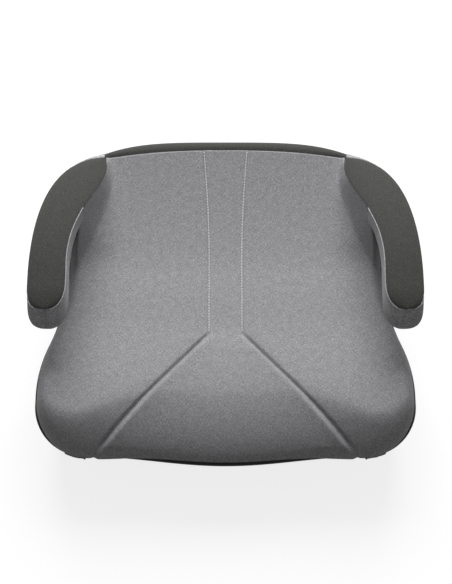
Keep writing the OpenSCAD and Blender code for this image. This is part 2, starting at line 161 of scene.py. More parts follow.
def mirrored(g):
    """A grid's mirror image, with its columns running the same way as before."""
    return g[:, ::-1] * np.array([-1, 1, 1])


# ------------------------------------------------------------------ plan outline of the shell

CORNER_C = np.array([FLARE_HALF_W - FRONT_CORNER_R, -HALF_DEPTH + FRONT_BUMP + FRONT_CORNER_R], float)


def front_edge_y(x):
    """The front edge: a shallow wave that bulges forward in the middle."""
    return -HALF_DEPTH + FRONT_BUMP * (0.5 - 0.5 * np.cos(np.pi * x / CORNER_C[0]))


def half_outline(n):
    """From the middle of the front edge round the +X side to the middle of the rear edge."""
    flare_r, flare_turn, flare_y = 150, 24.6, -108
    flare_c = np.array([FLARE_HALF_W - flare_r, flare_y])
    turn = np.array([math.cos(math.radians(flare_turn)), math.sin(math.radians(flare_turn))])
    flare_end = flare_c + flare_r * turn
    waist_r = (flare_end[0] - WAIST_HALF_W) / (1 - turn[0])
    waist_c = flare_end + waist_r * turn
    rear_corner_r, rear_arc_r, rear_turn = 72, 730, 10
    rear_arc_y = HALF_DEPTH - rear_arc_r
    rear_corner_y = rear_arc_y + (rear_arc_r - rear_corner_r) * math.cos(math.radians(rear_turn)) + 0.8
    x_front = np.linspace(0, CORNER_C[0], 8 * n + 1)
    back = np.linspace(126, 0, 6 * n + 1)[1:]
    return np.concatenate([
        np.stack([x_front, front_edge_y(x_front)], -1),
        arc(CORNER_C, FRONT_CORNER_R, -90, 0, 6 * n),
        arc(flare_c, flare_r, 0, flare_turn, 4 * n),
        arc(waist_c, -waist_r, flare_turn, 0, 6 * n),
        arc([WAIST_HALF_W - rear_corner_r, rear_corner_y], rear_corner_r, 0, 90 - rear_turn, 6 * n),
        np.stack([back, rear_arc_y + np.sqrt(rear_arc_r ** 2 - back ** 2)], -1),
    ])


def full_outline(n):
    half = half_outline(n)
    return np.concatenate([half, half[-2:0:-1] * np.array([-1, 1])])


def outward(p):
    """Unit vector out of a closed outline at each of its points."""
    d = np.roll(p, -1, axis=0) - np.roll(p, 1, axis=0)
    n = np.stack([d[:, 1], -d[:, 0]], -1)
    return n / np.linalg.norm(n, axis=1)[:, None]


OUTLINE_STEPS = 6
OUTLINE = full_outline(OUTLINE_STEPS)
OUTWARD = outward(OUTLINE)
CORNER_I = 8 * OUTLINE_STEPS
WAIST_I = 24 * OUTLINE_STEPS


def edge_inset(p):
    """How far the cover's edge stays inside the shell's lip: least at the front corners."""
    outward_most, corner_span = 5.2, 55
    away = np.hypot(np.abs(p[..., 0]) - SEAM_END_X, p[..., 1] - SEAM_END_Y - 2)
    return COVER_INSET - outward_most * np.exp(-((away / corner_span) ** 2))


def edge_rise(p):
    """Height of the cover's edge over the lip: just over the lip's round, and wrapped down outside it."""
    inset = edge_inset(p)
    in_from_side = LIP_ROUND_R - np.clip(inset, 0, LIP_ROUND_R)
    on_lip = np.sqrt(LIP_ROUND_R ** 2 - in_from_side ** 2) - LIP_ROUND_R
    return on_lip + 0.6 + 0.8 * np.minimum(0, inset)


COVER_EDGE = (OUTLINE - edge_inset(OUTLINE)[:, None] * OUTWARD)[: WAIST_I + 12]

# ------------------------------------------------------------------ heights


def lip_z(y):
    return LIP_FRONT_Z + LIP_RISE * smooth((y + 60) / 120)


def crown_z(x, y):
    """The upholstered surface without its rolled edge."""
    side = 3 * (x / 150) ** 2
    front = FRONT_RISE * smooth((-20 - y) / 100)
    rear = (REAR_SEAM_Z - SEAT_Z) * np.maximum(0, (y - 30) / 142) ** 1.6
    return SEAT_Z + side + front + rear


def quarter(t, power=2.0):
    """Rise from 0 to 1 along a quarter of an ellipse, or of a flatter curve if power is under 2."""
    return (1 - (1 - clamp01(t)) ** power) ** (1 / power)


def frontness(x, y):
    """1 where the front edge is the nearest one, 0 where a side edge is."""
    to_side, to_front = COVER_HALF_W - np.abs(x), y - COVER_FRONT_Y
    return smooth(0.45 + (to_side - to_front) / 150)


def roll_length(x, y):
    """How far in from the edge the cover's roll reaches."""
    return mix(SIDE_ROLL, FRONT_ROLL, frontness(x, y))


def cover_z(xy):
    """Height of the cover at plan points: its crown, rolled down to the shell's lip."""
    x, y = np.abs(xy[..., 0]), xy[..., 1]
    z0 = lip_z(y) + edge_rise(xy)
    d = np.maximum(0, to_line(np.stack([x, y], -1), COVER_EDGE) - 0.03)
    roll = roll_length(x, y)
    front = frontness(x, y)
    edge = quarter(d / roll, mix(2.0, 1.45, front))
    easy = quarter(d / (roll * mix(1, 1.5, front)))
    return z0 + (crown_z(x, y) - z0) * (edge + easy) / 2


# ------------------------------------------------------------------ armrest surface


def arm_edges(u, tip):
    """The armrest's inner and outer edge at u, from 0 at the rear to 1 at a tip at y = tip."""
    u = np.asarray(u, float)
    tip = np.broadcast_to(np.asarray(tip, float), u.shape)
    t = clamp01(u / ARM_CURVE_PART)
    y = tip * (u - ARM_CURVE_PART) / (1 - ARM_CURVE_PART)
    c = clamp01((tip + CAP_LENGTH - y) / CAP_LENGTH)
    free = (u > ARM_CURVE_PART)[..., None]
    inner_x = ARM_MID_X - ARM_HALF_W * (1 - c ** 2.3) ** (1 / 2.3)
    outer_x = ARM_MID_X + ARM_HALF_W * (1 - c ** 3.4) ** (1 / 3.4)
    inner = np.where(free, np.stack([inner_x, y], -1), bezier(ARM_INNER, t))
    outer = np.where(free, np.stack([outer_x, y], -1), bezier(ARM_OUTER, t))
    return inner, outer


def arm_across(u):
    """Unit vector across the armrest, from its inner to its outer side."""
    a, b = arm_edges(np.minimum(u, ARM_CURVE_PART), ARM_TIP_Y)
    return (b - a) / np.linalg.norm(b - a, axis=-1)[..., None]


def arm_top(y):
    """Height of the top: it slopes down behind y = 0 to the rear seam, and dips at the tip."""
    slope = (ARM_TOP_Z - REAR_SEAM_Z) * (np.maximum(0, y) / 171) ** 2
    dip = 5 * clamp01((-y - 18) / 28) ** 2
    return ARM_TOP_Z - slope - dip


def gap_roof(y):
    """Roof of the belt gap, rounded at its closed end."""
    return ARM_UNDER_Z - GAP_R + GAP_R * np.sqrt(1 - clamp01((y - GAP_END_Y + GAP_R) / GAP_R) ** 2)


def arm_bottom(y, floor):
    """Underside: free in front of the belt gap's closed end, down to the height floor behind it."""
    return mix(np.maximum(gap_roof(y), ARM_FLOOR_Z), floor, smooth((y - GAP_END_Y + 2) / 4))


def arm_lean(u, z):
    """How far the armrest's lower part lies inwards of its top."""
    return mix(3, 18, clamp01(u / 0.38) ** 1.8) * clamp01((155 - z) / 55) ** 1.3


def arm_pt(u, inset, side, out, down, z):
    """Points on the armrest at u along it and height z.

    side runs from -1 on the inner edge to 1 on the outer one, each moved in by inset and then pushed
    outwards by out. down runs from 0 at the top seam to 1 at the bottom and moves the tip forward.
    """
    tip = mix(ARM_TOP_TIP_Y, ARM_TIP_Y, np.sin(np.pi / 2 * clamp01(down / 0.6))) + inset
    a, b = arm_edges(u, tip)
    n = arm_across(u)
    half = np.linalg.norm(b - a, axis=-1) / 2
    h = np.maximum(0, half - inset * np.minimum(1, half / 14))
    shift = side * h + np.sign(side) * out - arm_lean(u, z)
    xy = (a + b) / 2 + shift[..., None] * n
    return np.concatenate([xy, np.broadcast_to(z, u.shape)[..., None]], -1)


# ------------------------------------------------------------------ meshes from grids


def grid_normals(g):
    """Unit vectors out of a grid whose rows run forward and whose columns run to +X over the top."""
    return unit(np.cross(np.gradient(g, axis=0), np.gradient(g, axis=1)))


def mesh_object(name, points, faces, weave=None):
    """A smooth mesh. Its cloth coordinates, if any, are kept for the woven materials."""
    mesh = bpy.data.meshes.new(name)
    mesh.from_pydata((np.asarray(points) * MM).tolist(), [], faces)
    if weave is not None:
        cloth = mesh.attributes.new("weave", "FLOAT_VECTOR", "POINT")
        cloth.data.foreach_set("vector", np.ascontiguousarray(weave * MM, np.float32).ravel())
    mesh.update()
    mesh.shade_smooth()
    obj = bpy.data.objects.new(name, mesh)
    bpy.context.scene.collection.objects.link(obj)
    return obj


def cloth_coords(g, start=None):
    """Where each point of a grid lies on its flat cloth: plan position plus what the slope adds."""
    step = np.diff(g, axis=1)
    extra = np.linalg.norm(step, axis=-1) - np.linalg.norm(step[..., :2], axis=-1)
    extra = np.concatenate([np.zeros((len(g), 1)), np.cumsum(extra, axis=1)], axis=1)
    start = g.shape[1] // 2 if start is None else start
    extra -= extra[:, start][:, None]
    way = unit(g[:, -1, :2] - g[:, 0, :2])
    flat = g[..., :2] + extra[..., None] * way[:, None]
    return np.concatenate([flat, np.zeros(g.shape[:2] + (1,))], -1)


def patch(name, outer, thickness, weave=None):
    """A closed sheet of fabric: a grid of points, and its copy one thickness below."""
    inner = outer - grid_normals(outer) * thickness
    rows, cols = outer.shape[:2]
    below = rows * cols
    ids = np.arange(below).reshape(rows, cols)
    quads = np.stack([ids[:-1, :-1], ids[1:, :-1], ids[1:, 1:], ids[:-1, 1:]], -1).reshape(-1, 4)
    rim = np.concatenate([ids[0, ::-1], ids[1:, 0], ids[-1, 1:], ids[-2:0:-1, -1]])
    nxt = np.roll(rim, -1)
    walls = np.stack([nxt, rim, rim + below, nxt + below], -1)
    faces = np.concatenate([quads, quads[:, ::-1] + below, walls])
    points = np.concatenate([outer.reshape(-1, 3), inner.reshape(-1, 3)])
    if weave is not None:
        weave = np.concatenate([weave.reshape(-1, 3)] * 2)
    return mesh_object(name, points, faces.tolist(), weave)


def ring_stack(name, rings, first, last):
    """A closed surface through a stack of closed rings, with a point at each end."""
    m, n = len(rings), len(rings[0])
    points = np.concatenate([[first], np.concatenate(rings), [last]])
    ids = 1 + np.arange(m * n).reshape(m, n)
    nxt = np.roll(ids, -1, axis=1)
    faces = [[0, b, a] for a, b in zip(ids[0], nxt[0])]
    faces += np.stack([ids[:-1], nxt[:-1], nxt[1:], ids[1:]], -1).reshape(-1, 4).tolist()
    faces += [[m * n + 1, a, b] for a, b in zip(ids[-1], nxt[-1])]
    return mesh_object(name, points, [[int(k) for k in f] for f in faces])


def circles(across, up, sides):
    """A unit circle of points for each pair of directions."""
    a = 2 * np.pi * np.arange(sides) / sides
    return np.cos(a)[None, :, None] * across[:, None] + np.sin(a)[None, :, None] * up[:, None]


def closed_tube(name, path, radius, sides):
    """A round tube along a closed path."""
    t = unit(np.roll(path, -1, axis=0) - np.roll(path, 1, axis=0))
    across = unit(np.cross(t, [0, 0, 1.0]))
    ring = path[:, None] + radius * circles(across, np.cross(across, t), sides)
    ids = np.arange(len(path) * sides).reshape(len(path), sides)
    nxt = np.roll(ids, -1, axis=1)
    faces = np.stack([ids, nxt, np.roll(nxt, -1, axis=0), np.roll(ids, -1, axis=0)], -1)
    return mesh_object(name, ring.reshape(-1, 3), faces.reshape(-1, 4).tolist())


# ------------------------------------------------------------------ seat surface


def root_line():
    """Where the seat cover meets the armrest's inner wall, and how far it rises over the seat there."""
    fade_from_y, fade_length = 34, 52
    u = np.linspace(0, 0.66, 160)
    inner, outer = arm_edges(u, ARM_TIP_Y)
    across = arm_across(u)
    rear = 1 - smooth(u / 0.1)
    p = inner - rear[:, None] * np.stack([across[:, 0], np.full(len(u), -3.0)], -1)
    below_top = mix(5.4, 3.6, rear)
    rise = arm_top((inner + outer)[:, 1] / 2) - below_top - cover_z(p)
    return p, np.maximum(0, rise) * smooth((p[:, 1] - fade_from_y) / fade_length)


def rear_seam(y):
    """Where a row that ends at y on the armrest's root meets the long seam."""
    return y + 11 * smooth((y - 86) / 76)


def rear_seam_y(x):
    """The seam between the seat cover and the rear panel."""
    return 173 - 10.5 * (np.abs(x) / 140) ** 2.4


def seam_x(y):
    """The long seam between the centre and the side panel, which spreads a little to the rear."""
    return SEAM_X + 6.5 * (np.maximum(0, y - 40) / 133) ** 2


def seat_rows(count):
    """Outer end and seam point of every row of the +X half, from the rear seam to the front edge."""
    root = ROOT[: int(np.argmax(ROOT[:, 1] < GAP_END_Y))]
    i = np.arange(WAIST_I, CORNER_I - 1, -1)
    edge = OUTLINE[i] - edge_inset(OUTLINE[i])[:, None] * OUTWARD[i]
    line = resample(np.concatenate([root, CROTCH, edge]), 700)
    near = np.exp(-((np.linalg.norm(line - CROTCH_MIDDLE, axis=1) / 22) ** 2))
    line = mix(line, relax(line, 60), near[:, None])
    s = lengths(line)
    fork = s[np.argmin(np.abs(line[:, 1] - FORK_Y))]
    y = rear_seam(line[:, 1])
    back = np.stack([seam_x(y), np.maximum(y, FORK_Y)], -1)
    q = 1 - (1 - clamp01((s - fork) / (s[-1] - fork))) ** 1.4
    corner = np.array([SEAM_END_X, SEAM_END_Y], float)
    end = np.array([SEAM_END_X, front_edge_y(SEAM_END_X) + edge_inset(corner)])
    front = mix(np.array([SEAM_X, FORK_Y]), end, q[:, None])
    seam = np.where((s > fork)[:, None], front, back)
    step = s + lengths(seam)
    pick = np.linspace(0, step[-1], count)
    rows = np.concatenate([line, seam], -1)
    return np.stack([np.interp(pick, step, rows[:, k]) for k in range(4)], -1), end


def along_line(xy, line, value):
    """Signed distance to a polyline, positive on its left, and the value at the nearest point."""
    flat = xy.reshape(-1, 2)
    best = np.full(len(flat), 1e9)
    side = np.ones(len(flat))
    found = np.zeros(len(flat))
    for k in range(len(line) - 1):
        a, d = line[k], line[k + 1] - line[k]
        t = clamp01(((flat - a) @ d) / (d @ d))
        away = np.linalg.norm(flat - (a + t[:, None] * d), axis=1)
        closer = away < best
        best[closer] = away[closer]
        found[closer] = mix(value[k], value[k + 1], t[closer])
        turn = d[0] * (flat[:, 1] - a[1]) - d[1] * (flat[:, 0] - a[0])
        side[closer] = np.where(turn[closer] > 0, 1, -1)
    return (best * side).reshape(xy.shape[:-1]), found.reshape(xy.shape[:-1])


ROOT, ROOT_RISE = root_line()
ROWS, SEAM_END = seat_rows(int(320 * FINE))
OUTER_LINE = ROWS[:, :2]
SEAM_LINE = ROWS[:, 2:]


def clustered(n):
    """0 to 1 in n steps, closer together at both ends."""
    w = np.linspace(0, 1, n + 1)
    return mix(w, 0.5 - 0.5 * np.cos(np.pi * w), 0.85)


def seat_point(xy):
    """Points of the cover at plan points, with the fillet that rises to the armrest."""
    away, rise = along_line(xy, ROOT, ROOT_RISE)
    width = mix(0.4, 1, clamp01(rise / 55))
    foot = clamp01(1 + away / (60 * width)) ** 2.4
    steep = clamp01(1 + away / (12 * width)) ** 2.2
    raised = rise * np.where(away > 0, 1 - smooth(away / 9), 0.15 * foot + 0.85 * steep)
    return np.concatenate([xy, (cover_z(xy) + raised)[..., None]], -1)


def seam_shape(xy, centre_side):
    """Depth of the seam groove and the puff beside it, at plan points."""
    d = to_line(np.stack([np.abs(xy[..., 0]), xy[..., 1]], -1), SEAM_LINE[::2])
    front = smooth((FORK_Y - xy[..., 1] + 8) / 30)
    tuck = 1.1 + 2.0 * front
    puff = mix(0.8, 4.2 if centre_side else 0.6, front)
    swell = mix(5, 3.2 if centre_side else 7, front)
    reach = mix(18, 30, front)
    groove = -tuck * np.exp(-((d / mix(1.7, 2.3, front)) ** 2))
    puffed = puff * (1 - np.exp(-((d / swell) ** 2))) * np.exp(-d / reach)
    from_front = xy[..., 1] - front_edge_y(np.abs(xy[..., 0])) - COVER_INSET
    return mix(0.35, 1, smooth(from_front / 8)) * (groove + puffed)


def seat_side():
    """Grid of the +X side panel, from the seam to its outer end."""
    t = clustered(int(120 * FINE))[None, :, None]
    xy = mix(SEAM_LINE[:, None], OUTER_LINE[:, None], t)
    chord_start_y = rear_seam_y(0)
    chord_start_x = seam_x(chord_start_y)
    chord_part = clamp01((xy[..., 0] - chord_start_x) / (REAR_END[0] - chord_start_x))
    chord = mix(chord_start_y, REAR_END[1], chord_part)
    near_rear = clamp01(1 - (REAR_END[1] - OUTER_LINE[:, 1]) / 30) ** 2
    xy[..., 1] += (rear_seam_y(xy[..., 0]) - chord) * near_rear[:, None]
    g = seat_point(xy)
    return g + grid_normals(g) * seam_shape(xy, False)[..., None]


def seat_centre():
    """Grid of the centre panel: a straight strip that spreads to the front corners."""
    f = 2 * clustered(int(90 * FINE)) - 1
    a = SEAM_LINE[:, None]
    x = a[..., 0] * f
    k = clamp01((FORK_Y - a[..., 1]) / (FORK_Y - SEAM_END[1]))
    reach = np.stack([SEAM_END_X * np.abs(f), np.full(len(f), float(SEAM_END_Y))], -1)
    edge = front_edge_y(reach[:, 0]) + edge_inset(reach)
    y = a[..., 1] + k ** 2 * (edge - edge[-1])
    xy = np.stack([x, np.broadcast_to(y, x.shape)], -1)
    g = np.concatenate([xy, cover_z(xy)[..., None]], -1)
    return g + grid_normals(g) * seam_shape(xy, True)[..., None]


def rear_grid():
    """The dark panel that rolls from the rear seam down the back."""
    half_w, roll_part, roll_drop = 144, 0.45, 16
    x = np.linspace(-half_w, half_w, int(150 * FINE))[None, :]
    t = np.linspace(0, 1, int(44 * FINE))[::-1, None]
    roll = np.radians(90 * np.minimum(1, t / roll_part))
    down = np.maximum(0, (t - roll_part) / (1 - roll_part))
    y_out = HALF_DEPTH - 1.5 - 17 * (x / half_w) ** 4
    y = mix(rear_seam_y(x), y_out, np.sin(roll)) - 2 * down
    puff = 2.6 * np.sin(np.pi * clamp01(t / 0.5)) - 0.8 * np.exp(-((t / 0.05) ** 2))
    z = mix(REAR_SEAM_Z - roll_drop * (1 - np.cos(roll)), lip_z(HALF_DEPTH) + 2, down) + puff * (1 - down)
    return np.stack(np.broadcast_arrays(x, y, z), -1)


# ------------------------------------------------------------------ armrest grids


def arm_stations():
    """Stations along the armrest, closer together round its tip."""
    tip_from = 0.84
    body = np.linspace(0, tip_from, int(150 * FINE))
    tip = tip_from + (1 - tip_from) * np.sin(np.linspace(0, np.pi / 2, int(34 * FINE))[1:]) ** 0.8
    return np.concatenate([body, tip])[:, None]


def arm_slim(u):
    """How much of its full shape the armrest has at u, under 1 where it is narrow, and its middle's y."""
    a, b = arm_edges(u, ARM_TOP_TIP_Y)
    return np.minimum(1, np.linalg.norm(b - a, axis=-1) / 24), (a[..., 1] + b[..., 1]) / 2


def arm_top_grid():
    """The dark top panel, from the inner to the outer seam."""
    u = arm_stations()
    slim, y = arm_slim(u)
    t = (2 * clustered(int(44 * FINE)) - 1)[None, :]
    edge = np.exp(-(((1 - np.abs(t)) * 21 * slim / 1.6) ** 2))
    z = arm_top(y) - 3 * np.abs(t) ** 2.4 - 0.7 * edge
    return arm_pt(np.broadcast_to(u, z.shape), 0, t + 0 * z, 0 * z, 0 * z, z)


def arm_gusset_grid():
    """From the top seam down the outer side, under, and up the inner side to the top seam."""
    u = arm_stations()
    slim, y = arm_slim(u)
    z_top = arm_top(y)
    floor_out = mix(ARM_FLOOR_Z, lip_z(y) + 1, smooth((y - GAP_END_Y) / 12))
    low_in = np.minimum(arm_bottom(y, ARM_FLOOR_Z), z_top - 4)
    low_out = np.minimum(arm_bottom(y, floor_out), z_top - 4)
    side = clustered(int(44 * FINE))[None, :]
    under = np.linspace(1, -1, int(14 * FINE))[None, 1:-1]
    roll = 11 * (1 - smooth(u / 0.24))
    bulge = 1.5 * slim
    round_r = 7 * np.where(u > 0.5, 1, slim)
    welt = 0.9 * np.exp(-(((side * (z_top - low_in) - 1.2) / 1.3) ** 2)) * slim

    def wall(sign, low, rolled, welt_from):
        """One side, with a welt beside the top seam where the seam isn't tucked."""
        ridge = welt * smooth((u - welt_from) / 0.06)
        outer_tuck = smooth((u - 0.2) / 0.1) * (1 - smooth((u - 0.78) / 0.18))
        tuck = outer_tuck if sign > 0 else 1.4 * (1 - smooth((u - 0.4) / 0.06))
        out = rolled * quarter(side / 0.32) + bulge * (1 - tuck) * np.sin(np.pi * side) + ridge - 1.6 * tuck
        z = mix(z_top - 3 - 2 * tuck, low, side) + 0.7 * ridge
        return arm_pt(np.broadcast_to(u, z.shape), round_r * side ** 5, sign + 0 * z, out, side + 0 * z, z)

    z_under = mix(low_in, low_out, (under + 1) / 2) - 1.2 * (1 - under ** 2) * slim
    down = np.ones_like(z_under)
    floor = arm_pt(np.broadcast_to(u, z_under.shape), round_r, under * down, 0 * down, down, z_under)
    outer, inner = wall(1, low_out, roll, 0.9), wall(-1, low_in, 0 * u, 0.42)
    return np.concatenate([outer, floor, inner[:, ::-1]], axis=1)


def arm_foam_grid(inset):
    """The armrest's foam: over the top and down the upper part of both sides, inside the cover."""
    u = np.linspace(0.05, 0.93, 60)[:, None]
    _, y = arm_slim(u)
    z_top = arm_top(y) - inset
    t = np.linspace(-1, 1, 21)[None, :]
    z = z_top - 3 * np.abs(t) ** 2.4
    top = arm_pt(np.broadcast_to(u, z.shape), inset, t + 0 * z, 0 * z, 0 * z, z)
    down = np.linspace(0.04, 0.36, 8)[None, :]
    z = mix(z_top - 3, arm_bottom(y, ARM_FLOOR_Z), down)
    along = np.broadcast_to(u, z.shape)
    outer = arm_pt(along, inset, 1 + 0 * z, 0 * z, down + 0 * z, z)
    inner = arm_pt(along, inset, -1 + 0 * z, 0 * z, down + 0 * z, z)
    return np.concatenate([inner[:, ::-1], top, outer], axis=1)


def along_coords(g):
    """Cloth coordinates of a strip: length along it and length across it."""
    along = lengths(g[:, g.shape[1] // 2])
    across = np.concatenate([[0], np.cumsum(np.linalg.norm(np.diff(g, axis=1), axis=-1).mean(axis=0))])
    return np.stack(np.broadcast_arrays(across[None, :], along[:, None], 0.0), -1)


# ------------------------------------------------------------------ stitches


def stitch_row(name, path, up, pitch, gap, radius):
    """A row of separate thread stitches, each one sunk at its two ends."""
    s = lengths(path)
    count = int(s[-1] / pitch)
    rings_each, sides = 7, 8
    rings = np.linspace(0, 1, rings_each)
    at = (np.arange(count)[:, None] * pitch + gap / 2 + rings * (pitch - gap)).ravel()
    c = np.stack([np.interp(at, s, path[:, k]) for k in range(3)], -1)
    n = unit(np.stack([np.interp(at, s, up[:, k]) for k in range(3)], -1))
    ahead = np.stack([np.interp(at + 0.2, s, path[:, k]) for k in range(3)], -1)
    back = np.stack([np.interp(at - 0.2, s, path[:, k]) for k in range(3)], -1)
    side = np.cross(unit(ahead - back), n)
    arch = np.tile(np.sin(np.pi * rings) ** 0.35, count)
    size = radius * (0.35 + 0.65 * arch)
    c = c + n * (radius * (1.3 * arch - 0.9))[:, None]
    ring = c[:, None] + size[:, None, None] * circles(side, n, sides)
    ids = np.arange(count * rings_each * sides).reshape(count, rings_each, sides)
    nxt = np.roll(ids, -1, axis=2)
    faces = np.stack([ids[:, :-1], ids[:, 1:], nxt[:, 1:], nxt[:, :-1]], -1).reshape(-1, 4).tolist()
    faces += ids[:, 0].tolist() + ids[:, -1, ::-1].tolist()
    return mesh_object(name, ring.reshape(-1, 3), faces)


def on_cover(xy):
    """Points of the cover's surface and their normals at plan points of the +X half."""
    shape = seam_shape(xy, False)
    p = np.concatenate([xy, (cover_z(xy) + shape)[:, None]], -1)
    step = 0.5
    zx = (cover_z(xy + [step, 0]) - cover_z(xy - [step, 0])) / (2 * step)
    zy = (cover_z(xy + [0, step]) - cover_z(xy - [0, step])) / (2 * step)
    return p, unit(np.stack([-zx, -zy, np.ones(len(xy))], -1))


def seam_offset(line, d):
    """A plan line beside the seam, d to the +X side of it."""
    t = unit(np.gradient(relax(line, 6), axis=0))
    return line + d * np.stack([-t[:, 1], t[:, 0]], -1)


def both(name, build):
    """Builds a mesh for the +X side and its mirror image."""
    right = build(name + "_right")
    left = right.copy()
    left.data = right.data.copy()
    left.name = name + "_left"
    left.data.transform(Matrix.Scale(-1, 4, (1, 0, 0)))
    left.data.flip_normals()
    bpy.context.scene.collection.objects.link(left)
    return right, left


# ------------------------------------------------------------------ materials


def add(tree, kind, inputs=None, **settings):
    """A node with its settings, and its inputs linked or set."""
    node = tree.nodes.new(kind)
    for key, value in settings.items():
        setattr(node, key, value)
    for key, value in (inputs or {}).items():
        if isinstance(value, bpy.types.NodeSocket):
            tree.links.new(value, node.inputs[key])
        else:
            node.inputs[key].default_value = value
    return node


def new_material(name, **values):
    """A material, its node tree and its shader, with shader inputs set by name."""
    mat = bpy.data.materials.new(name)
    mat.use_nodes = True
    shader = mat.node_tree.nodes["Principled BSDF"]
    for key, value in values.items():
        shader.inputs[key.replace("_", " ")].default_value = value
    return mat, mat.node_tree, shader


def noise(tree, where, scale, detail=2.0, rough=0.5):
    settings = {"Vector": where, "Scale": scale, "Detail": detail, "Roughness": rough}
    return add(tree, "ShaderNodeTexNoise", settings).outputs["Fac"]


def scaled(tree, where, factors):
    return add(tree, "ShaderNodeMapping", {"Vector": where, "Scale": factors}).outputs[0]


def maths(tree, operation, a, b):
    return add(tree, "ShaderNodeMath", {0: a, 1: b}, operation=operation).outputs[0]


def waves(tree, where, pitch, direction):
    """Stripes, one every pitch millimetres."""
    scale = 2 * math.pi / (20 * pitch * MM)
    settings = {"Vector": where, "Scale": scale}
    return add(tree, "ShaderNodeTexWave", settings, bands_direction=direction).outputs["Fac"]


def colours(tree, factor, stops):
    """A colour ramp, with a colour at each stop."""
    ramp = add(tree, "ShaderNodeValToRGB", {"Fac": factor})
    ramp.color_ramp.elements[0].position = stops[0][0]
    ramp.color_ramp.elements[1].position = stops[-1][0]
    for place, _ in stops[1:-1]:
        ramp.color_ramp.elements.new(place)
    for element, (_, colour) in zip(ramp.color_ramp.elements, stops):
        element.color = (*colour, 1)
    return ramp.outputs["Color"]


def paint(tree, shader, factor, stops):
    tree.links.new(colours(tree, factor, stops), shader.inputs["Base Color"])


def bump(tree, shader, height, strength, distance):
    settings = {"Height": height, "Strength": strength, "Distance": distance}
    normal = add(tree, "ShaderNodeBump", settings).outputs[0]
    tree.links.new(normal, shader.inputs["Normal"])


def woven(name, dark, mid, light, pitch, sheen):
    """Melange cloth: crossing flecks of dark and light yarn over a plain weave."""
    mat, tree, shader = new_material(name, Roughness=0.9, Sheen_Weight=sheen, Sheen_Roughness=0.5)
    cloth = add(tree, "ShaderNodeAttribute", attribute_name="weave").outputs["Vector"]
    warp = noise(tree, scaled(tree, cloth, (1500, 420, 1)), 1.0, 3.0, 0.7)
    weft = noise(tree, scaled(tree, cloth, (420, 1500, 1)), 1.0, 3.0, 0.7)
    mottle = noise(tree, cloth, 140, 3.0, 0.6)
    fleck = maths(tree, "MULTIPLY_ADD", warp, 0.5)
    fleck.node.inputs[2].default_value = -0.06
    mix_up = maths(tree, "ADD", fleck, maths(tree, "MULTIPLY", weft, 0.5))
    mix_up = maths(tree, "ADD", mix_up, maths(tree, "MULTIPLY", mottle, 0.12))
    paint(tree, shader, mix_up, [(0.40, dark), (0.5, mid), (0.60, light)])
    plain_weave = maths(tree, "MULTIPLY", waves(tree, cloth, pitch, "X"), waves(tree, cloth, pitch, "Y"))
    threads = maths(tree, "ADD", plain_weave, maths(tree, "MULTIPLY", mix_up, 0.8))
    bump(tree, shader, threads, 0.45, 0.0003)
    return mat


def moulded(name, low, high, rough, grain, strength):
    """Textured plastic or rubber with a fine spark-eroded grain."""
    mat, tree, shader = new_material(name)
    place = add(tree, "ShaderNodeTexCoord").outputs["Object"]
    fine = noise(tree, place, grain, 4.0, 0.6)
    cloudy = noise(tree, place, 35, 3.0)
    paint(tree, shader, cloudy, [(0.35, low), (0.65, high)])
    tree.links.new(maths(tree, "MULTIPLY_ADD", cloudy, 0.15), shader.inputs["Roughness"])
    shader.inputs["Roughness"].links[0].from_node.inputs[2].default_value = rough
    bump(tree, shader, fine, strength, 0.0002)
    return mat


def zinc_steel():
    """Zinc plated steel with fine scratches along one direction."""
    mat, tree, shader = new_material("zinc_steel", Metallic=1.0)
    place = add(tree, "ShaderNodeTexCoord").outputs["Object"]
    brushed = noise(tree, scaled(tree, place, (300, 300, 2500)), 1.0, 3.0)
    paint(tree, shader, brushed, [(0.3, (0.42, 0.43, 0.45)), (0.7, (0.62, 0.62, 0.64))])
    tree.links.new(maths(tree, "MULTIPLY", brushed, 0.7), shader.inputs["Roughness"])
    return mat


def open_foam():
    """Cream foam with open cells."""
    mat, tree, shader = new_material("open_foam", Roughness=0.95)
    place = add(tree, "ShaderNodeTexCoord").outputs["Object"]
    cells = add(tree, "ShaderNodeTexVoronoi", {"Vector": place, "Scale": 700.0}).outputs["Distance"]
    paint(tree, shader, cells, [(0.1, (0.5, 0.45, 0.33)), (0.7, (0.66, 0.6, 0.46))])
    bump(tree, shader, cells, 0.6, 0.0006)
    return mat


def twisted(name, low, high, pitch, rough):
    """Twisted thread or braided elastic: fine slanting ribs."""
    mat, tree, shader = new_material(name, Roughness=rough)
    place = add(tree, "ShaderNodeTexCoord").outputs["Object"]
    ribs = waves(tree, place, pitch, "DIAGONAL")
    paint(tree, shader, ribs, [(0.2, low), (0.8, high)])
    bump(tree, shader, ribs, 0.5, 0.0002)
    return mat


GREY = woven("grey_cloth", (0.16, 0.16, 0.168), (0.265, 0.265, 0.275), (0.40, 0.40, 0.41), 0.9, 0.12)
# Armrest gusset cloth: the seat's grey painted about a quarter lighter, as painted light that brightens the
# gussets' front-facing walls, which the key light leaves dark.
GREY_PAINTED_LIGHTER = woven("grey_cloth_painted_lighter", (0.2, 0.2, 0.21), (0.33, 0.33, 0.342), (0.48, 0.48, 0.49), 0.9, 0.12)
DARK = woven("dark_cloth", (0.02, 0.021, 0.018), (0.033, 0.034, 0.03), (0.056, 0.057, 0.051), 0.8, 0.15)
SHELL = moulded("shell_black", (0.007, 0.007, 0.0075), (0.011, 0.011, 0.012), 0.42, 2600, 0.25)
TRAY = moulded("tray_black", (0.012, 0.012, 0.013), (0.018, 0.018, 0.019), 0.45, 1800, 0.3)
GUIDE = moulded("guide_grey", (0.024, 0.024, 0.026), (0.034, 0.034, 0.036), 0.28, 3000, 0.08)
RUBBER = moulded("foot_rubber", (0.016, 0.016, 0.016), (0.026, 0.026, 0.026), 0.75, 1400, 0.4)
STEEL = zinc_steel()
FOAM = open_foam()
